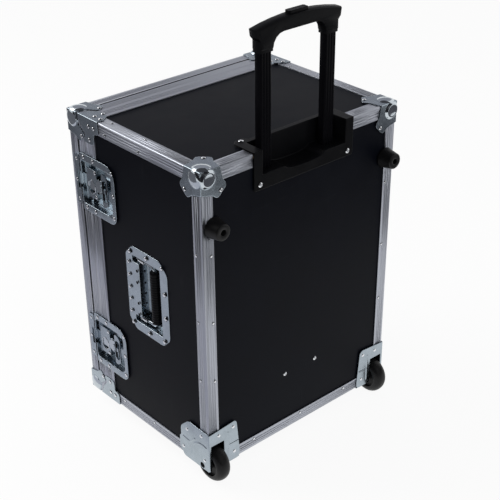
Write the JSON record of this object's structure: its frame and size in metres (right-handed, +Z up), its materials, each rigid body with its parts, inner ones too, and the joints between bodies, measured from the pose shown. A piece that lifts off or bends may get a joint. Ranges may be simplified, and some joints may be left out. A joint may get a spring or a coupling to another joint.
{
  "type": "wheeled accessory trunk",
  "caption": "Upright black flight case with aluminium edges, ball corners, butterfly latches, a recessed side handle, corner wheels and a pull-out trolley handle.",
  "frame": {"origin": "middle of the floor under the trunk, at the middle of its whole box", "axes": "+Z up; -Y is the lid's side, +Y the back with the trolley, +X the side with the latches and the handle"},
  "size_m": [0.4666, 0.4018, 0.844],
  "materials": {
    "plywood": "plywood with a black laminate, satin with a fine grain",
    "aluminium": "satin anodised extrusion with fine ribs",
    "zinc_plate": "bright zinc plate, slightly blue",
    "rubber": "black, satin",
    "moulding": "black moulding with a fine texture",
    "black_tube": "black anodised, satin"
  },
  "bodies": {
    "case": {"panel_latch_side": "plywood", "panel_hinge_side": "plywood", "panel_top": "plywood", "panel_bottom": "plywood", "panel_back": "plywood", "panel_inner": "plywood", "body_frame": "aluminium", "edge_back_latch_side": "aluminium", "edge_back_hinge_side": "aluminium", "edge_top_back_latch_side": "aluminium", "edge_top_back_hinge_side": "aluminium", "edge_bottom_back": "aluminium", "edge_top_latch_side": "aluminium", "edge_top_hinge_side": "aluminium", "edge_bottom_latch_side": "aluminium", "edge_bottom_hinge_side": "aluminium", "ball_corner_latch_side": "zinc_plate", "ball_corner_hinge_side": "zinc_plate", "brace_top_latch_side": "zinc_plate", "brace_top_hinge_side": "zinc_plate", "brace_bottom_latch_side": "zinc_plate", "brace_bottom_hinge_side": "zinc_plate", "wheel_corner_latch_side": "zinc_plate", "wheel_corner_hinge_side": "zinc_plate", "axle_latch_side": "zinc_plate", "axle_hinge_side": "zinc_plate", "latch_upper_dish": "zinc_plate", "latch_lower_dish": "zinc_plate", "handle_dish": "zinc_plate", "hinge_body_leaf": "zinc_plate", "hinge_pin": "zinc_plate", "bumper_latch_side": "rubber", "bumper_hinge_side": "rubber", "foot_latch_side": "rubber", "foot_hinge_side": "rubber", "trolley_shell": "moulding", "trolley_tube_frame": "black_tube"},
    "lid": {"lid_frame": "aluminium", "lid_panel": "plywood", "hinge_lid_leaf": "zinc_plate", "latch_upper_keeper": "zinc_plate", "latch_lower_keeper": "zinc_plate", "lid_corner_top_latch_side": "zinc_plate", "lid_corner_top_hinge_side": "zinc_plate", "lid_corner_bottom_latch_side": "zinc_plate", "lid_corner_bottom_hinge_side": "zinc_plate"},
    "trolley": {"trolley_leg_latch_side": "black_tube", "trolley_leg_hinge_side": "black_tube", "trolley_grip": "moulding"},
    "trolley_button": {"trolley_button": "moulding"},
    "wheel_latch_side": {"wheel_latch_side": "rubber"},
    "wheel_hinge_side": {"wheel_hinge_side": "rubber"},
    "handle": {"handle_bail": "zinc_plate", "handle_grip": "rubber"},
    "latch_upper_spindle": {"latch_upper_spindle": "zinc_plate"},
    "latch_upper_wing": {"latch_upper_wing": "zinc_plate"},
    "latch_upper_hook": {"latch_upper_hook": "zinc_plate"},
    "latch_lower_spindle": {"latch_lower_spindle": "zinc_plate"},
    "latch_lower_wing": {"latch_lower_wing": "zinc_plate"},
    "latch_lower_hook": {"latch_lower_hook": "zinc_plate"}
  },
  "joints": [
    {"name": "lid_hinge", "type": "hinge", "parent": "case", "child": "lid", "pos_m": [-0.2306, -0.16985, 0.3315], "axis": [0, 0, -1], "range_deg": [0, 95]},
    {"name": "trolley_slide", "type": "slide", "parent": "case", "child": "trolley", "axis": [0, 0, 1], "range_m": [-0.1985, 0.115]},
    {"name": "button_press", "type": "slide", "parent": "trolley", "child": "trolley_button", "axis": [0, 0, -1], "range_m": [0, 0.0035], "stiffness_N_per_m": 300},
    {"name": "handle_swing", "type": "hinge", "parent": "case", "child": "handle", "pos_m": [0.2182, -0.0246, 0.3335], "axis": [0, 0, -1], "range_deg": [0, 90], "stiffness_Nm_per_rad": 0.2},
    {"name": "wheel_spin_latch_side", "type": "hinge", "parent": "case", "child": "wheel_latch_side", "pos_m": [0.2094, 0.1629, 0.038], "axis": [1, 0, 0], "continuous": true},
    {"name": "wheel_spin_hinge_side", "type": "hinge", "parent": "case", "child": "wheel_hinge_side", "pos_m": [-0.2094, 0.1629, 0.038], "axis": [1, 0, 0], "continuous": true},
    {"name": "latch_upper_turn", "type": "hinge", "parent": "case", "child": "latch_upper_spindle", "pos_m": [0.228, -0.11885, 0.5005], "axis": [1, 0, 0], "range_deg": [0, 180]},
    {"name": "latch_upper_flip", "type": "hinge", "parent": "latch_upper_spindle", "child": "latch_upper_wing", "pos_m": [0.2262, -0.11085, 0.5005], "axis": [0, 0, -1], "range_deg": [0, 90]},
    {"name": "latch_upper_hook_slide", "type": "slide", "parent": "case", "child": "latch_upper_hook", "axis": [0, -1, 0], "range_m": [0, 0.003]},
    {"name": "latch_lower_turn", "type": "hinge", "parent": "case", "child": "latch_lower_spindle", "pos_m": [0.228, -0.11885, 0.1615], "axis": [1, 0, 0], "range_deg": [0, 180]},
    {"name": "latch_lower_flip", "type": "hinge", "parent": "latch_lower_spindle", "child": "latch_lower_wing", "pos_m": [0.2262, -0.11085, 0.1615], "axis": [0, 0, -1], "range_deg": [0, 90]},
    {"name": "latch_lower_hook_slide", "type": "slide", "parent": "case", "child": "latch_lower_hook", "axis": [0, -1, 0], "range_m": [0, 0.003]}
  ],
  "couplings": [
    {"joint": "latch_upper_hook_slide", "follows": "latch_upper_turn", "m_per_rad": 0.000954},
    {"joint": "latch_lower_hook_slide", "follows": "latch_lower_turn", "m_per_rad": 0.000954}
  ]
}
